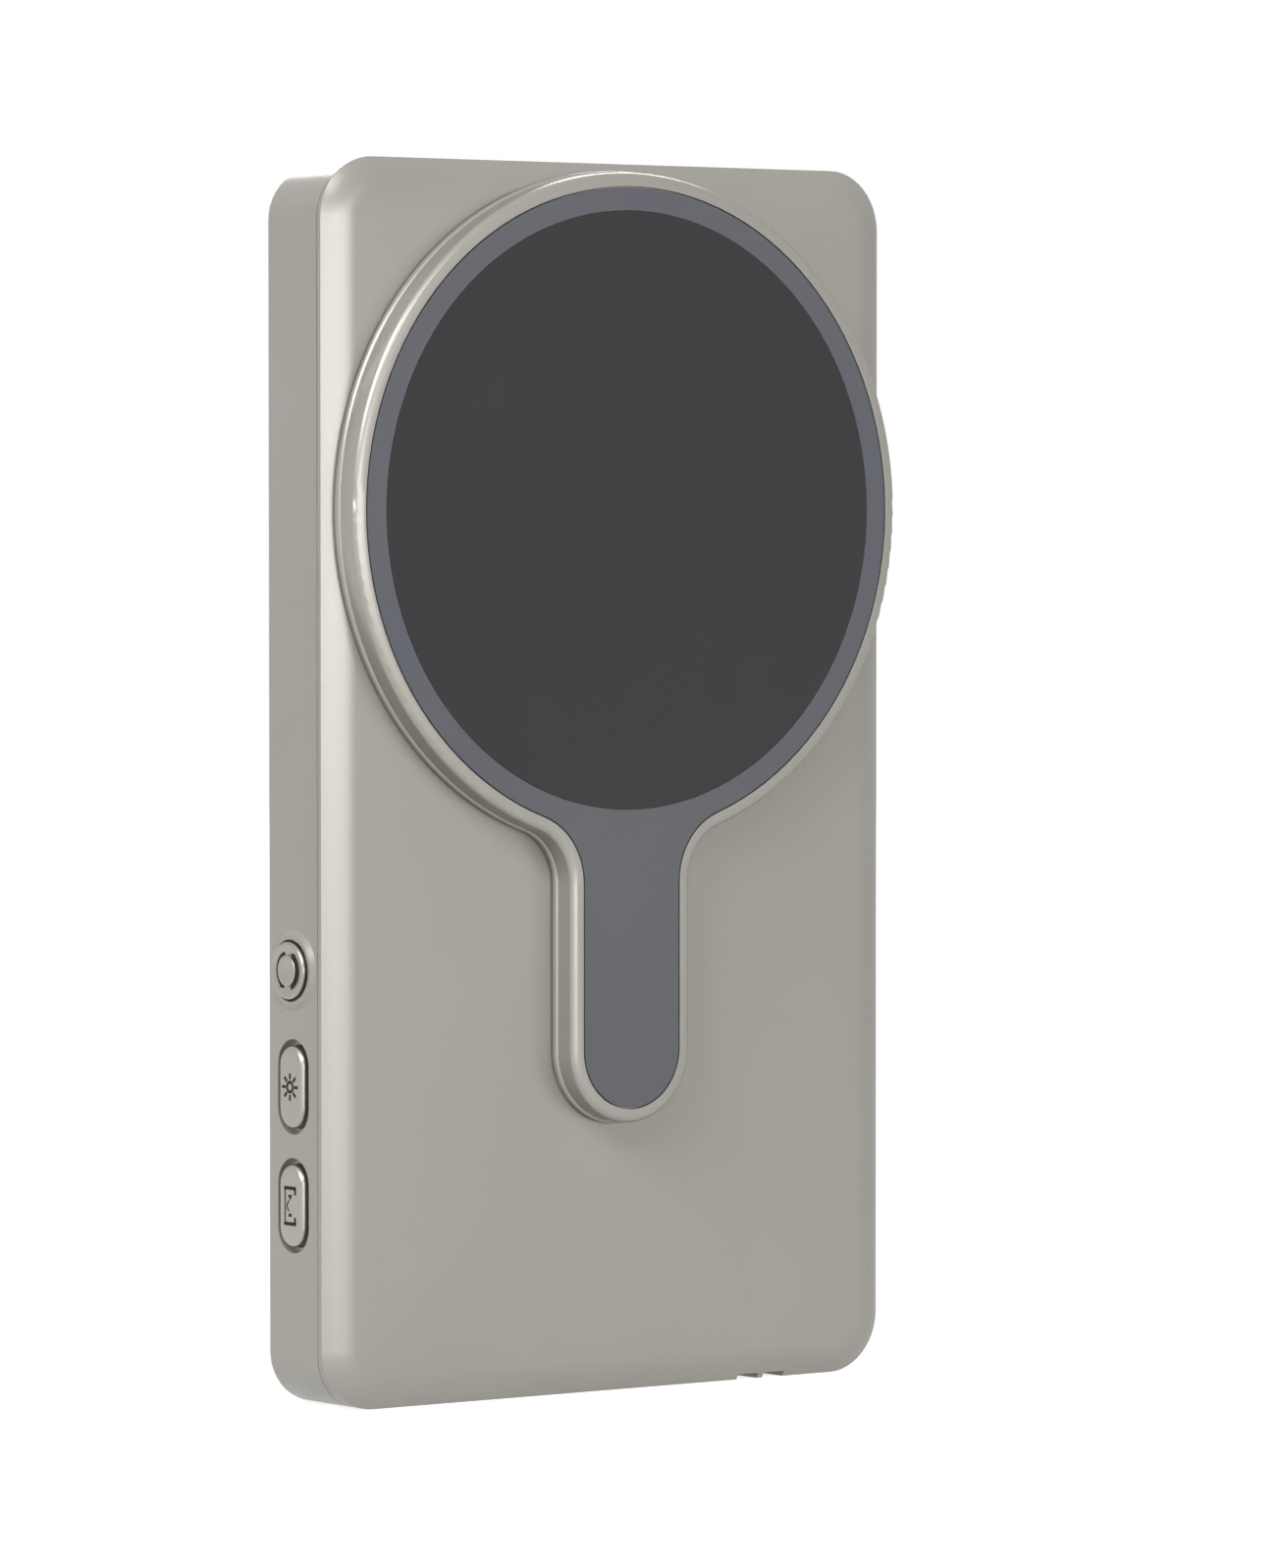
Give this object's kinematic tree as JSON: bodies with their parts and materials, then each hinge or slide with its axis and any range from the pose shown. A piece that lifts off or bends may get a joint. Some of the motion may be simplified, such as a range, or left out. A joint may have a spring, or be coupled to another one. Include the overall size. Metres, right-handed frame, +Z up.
{
  "type": "extendable shaving mirror",
  "caption": "Pocket shaving mirror: a slim metal slab carries a round lit mirror on a handle that slides up out of it and tilts forward.",
  "frame": {"origin": "middle of the flat base the slab stands on", "axes": "+Z up the slab, +X to the right of the front, -Y towards the person who looks into the mirror"},
  "size_m": [0.0845, 0.0187, 0.15],
  "materials": {
    "satin_metal": "bead-blasted, champagne anodised",
    "steel": "plain",
    "mirror": "polished, dark",
    "panel": "satin, blue-grey, translucent over the light ring",
    "dark_plastic": "matte",
    "light_plastic": "frosted",
    "board": "solder mask",
    "contact": "plain",
    "foil": "laminated pouch",
    "soft": "foam or rubber",
    "led": "yellow phosphor"
  },
  "bodies": {
    "slab": {"rear_housing": "satin_metal", "front_cover": "satin_metal", "housing_screws": "steel", "slide_track": "steel", "track_screws": "steel", "contact_strips": "contact", "travel_bumpers": "soft", "battery_pad": "soft", "battery_cell": "foil", "main_board": "board", "board_parts": "dark_plastic", "board_screws": "steel", "usb_socket": "steel", "side_board": "board", "brightness_switch": "dark_plastic", "mode_switch": "dark_plastic", "dial_encoder": "dark_plastic"},
    "brightness_key": {"brightness_button": "satin_metal"},
    "mode_key": {"mode_button": "satin_metal"},
    "dial_shaft": {"dial_plunger": "steel"},
    "dial": {"dial_cap": "satin_metal"},
    "carriage": {"slide_carriage": "steel", "keeper_plate": "steel", "keeper_screws": "steel", "wiper_contacts": "contact", "friction_spring": "steel"},
    "mirror_head": {"head_frame": "satin_metal", "head_back": "satin_metal", "face_panel": "panel", "mirror_glass": "mirror", "mirror_pad": "soft", "light_guide": "light_plastic", "led_board": "board", "ring_leds": "led", "hinge_pin": "steel", "hinge_washers": "contact", "head_screws": "steel"}
  },
  "joints": [
    {"name": "mirror_slide", "type": "slide", "parent": "slab", "child": "carriage", "axis": [0, 0, 1], "range_m": [0, 0.088]},
    {"name": "mirror_tilt", "type": "hinge", "parent": "carriage", "child": "mirror_head", "pos_m": [0, -0.0095, 0.03617], "axis": [1, 0, 0], "range_deg": [0, 100]},
    {"name": "brightness_press", "type": "slide", "parent": "slab", "child": "brightness_key", "axis": [1, 0, 0], "range_m": [0, 0.0004], "stiffness_N_per_m": 2000, "springref_m": -0.0005},
    {"name": "mode_press", "type": "slide", "parent": "slab", "child": "mode_key", "axis": [1, 0, 0], "range_m": [0, 0.0004], "stiffness_N_per_m": 2000, "springref_m": -0.0005},
    {"name": "dial_press", "type": "slide", "parent": "slab", "child": "dial_shaft", "axis": [1, 0, 0], "range_m": [0, 0.0005], "stiffness_N_per_m": 2000, "springref_m": -0.0005},
    {"name": "dial_turn", "type": "hinge", "parent": "dial_shaft", "child": "dial", "pos_m": [-0.0412, 0.0014, 0.0526], "axis": [-1, 0, 0], "continuous": true}
  ]
}
